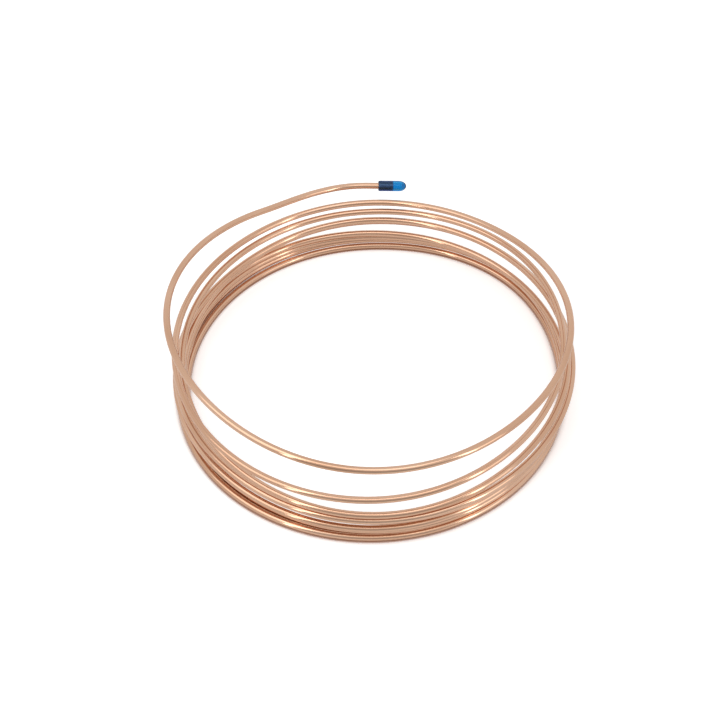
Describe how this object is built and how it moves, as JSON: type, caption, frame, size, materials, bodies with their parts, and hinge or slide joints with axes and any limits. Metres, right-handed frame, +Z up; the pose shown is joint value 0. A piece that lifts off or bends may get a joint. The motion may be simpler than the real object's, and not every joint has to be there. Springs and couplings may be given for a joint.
{
  "type": "copper tube coil",
  "caption": "Loose roll of thin copper line tube lying flat, its turns stacked and sprung apart, with a blue plastic cap on the upper free end.",
  "frame": {"origin": "on the floor under the middle of the roll's bounding box", "axes": "+Z up out of the lying roll, +Y towards the back, where the capped end lies and points to +X"},
  "size_m": [0.2894, 0.3026, 0.0822],
  "materials": {
    "copper": null,
    "cap_plastic": "translucent blue moulded plastic"
  },
  "bodies": {
    "root": {"tube": "copper", "end_cap": "cap_plastic"}
  },
  "joints": []
}
